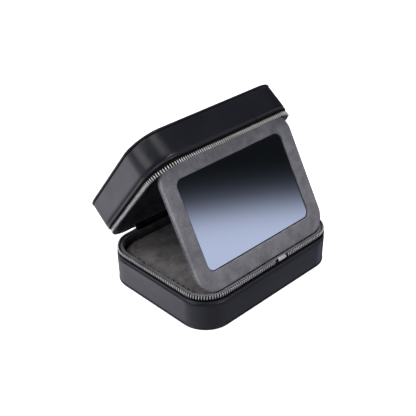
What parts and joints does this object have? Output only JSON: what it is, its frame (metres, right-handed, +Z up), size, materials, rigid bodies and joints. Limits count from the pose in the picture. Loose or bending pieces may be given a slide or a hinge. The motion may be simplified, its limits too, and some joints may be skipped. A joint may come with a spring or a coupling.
{
  "type": "travel jewellery case",
  "caption": "Rounded rectangular zip-around jewellery case with suede lining, a padded insert, a hinged lid and a framed mirror panel that folds out to prop it open.",
  "frame": {"origin": "centre of the base's underside, on the surface that the case stands on", "axes": "+Z up, +X to the case's right as seen from the front, -Y towards the front, where the zip opens; the hinge is at +Y"},
  "size_m": [0.15, 0.1376, 0.1398],
  "materials": {
    "leather": "semi-gloss",
    "suede": "matte",
    "suede_dark": "matte",
    "zip_tape": "matte",
    "zip_metal": "polished",
    "board": "matte",
    "foam": "matte",
    "mirror": "polished"
  },
  "bodies": {
    "base": {"bottom_board": "board", "bottom_cover": "leather", "base_wall_board": "board", "base_leather_wrap": "leather", "base_floor_board": "suede_dark", "base_suede_lining": "suede", "base_zip_tape": "zip_tape", "base_zip_teeth": "zip_metal", "base_top_stop": "zip_metal", "zip_bottom_stop": "zip_metal", "zip_front_clip": "zip_metal", "base_hinge_leather": "leather", "insert_block": "foam", "insert_pad": "suede_dark", "zip_slider": "zip_metal"},
    "lid": {"lid_board": "board", "lid_cover": "leather", "lid_wall_board": "board", "lid_leather_wrap": "leather", "lid_ceiling_board": "suede_dark", "lid_suede_lining": "suede", "lid_zip_tape": "zip_tape", "lid_zip_teeth": "zip_metal", "lid_top_stop": "zip_metal", "lid_hinge_leather": "leather", "lid_ceiling_pad": "suede_dark", "lid_fold_tape": "suede"},
    "mirror_panel": {"mirror_back_cover": "suede", "mirror_frame_board": "board", "mirror_frame_cover": "suede", "mirror_backing_felt": "suede_dark", "mirror_glass": "mirror", "panel_fold_tape": "suede"},
    "pull": {"zip_pull": "zip_metal"}
  },
  "joints": [
    {"name": "lid_hinge", "type": "hinge", "parent": "base", "child": "lid", "pos_m": [0, 0.057, 0.0314], "axis": [-1, 0, 0], "range_deg": [0, 57.6]},
    {"name": "panel_fold", "type": "hinge", "parent": "lid", "child": "mirror_panel", "pos_m": [0, -0.00442, 0.1208], "axis": [1, 0, 0], "range_deg": [0, 67]},
    {"name": "pull_swing", "type": "hinge", "parent": "base", "child": "pull", "pos_m": [0.07232, 0.04915, 0.0314], "axis": [0.5976, -0.8018, 0], "range_deg": [-4, 150]}
  ],
  "couplings": [
    {"joint": "panel_fold", "follows": "lid_hinge", "ratio": 1.1628}
  ]
}
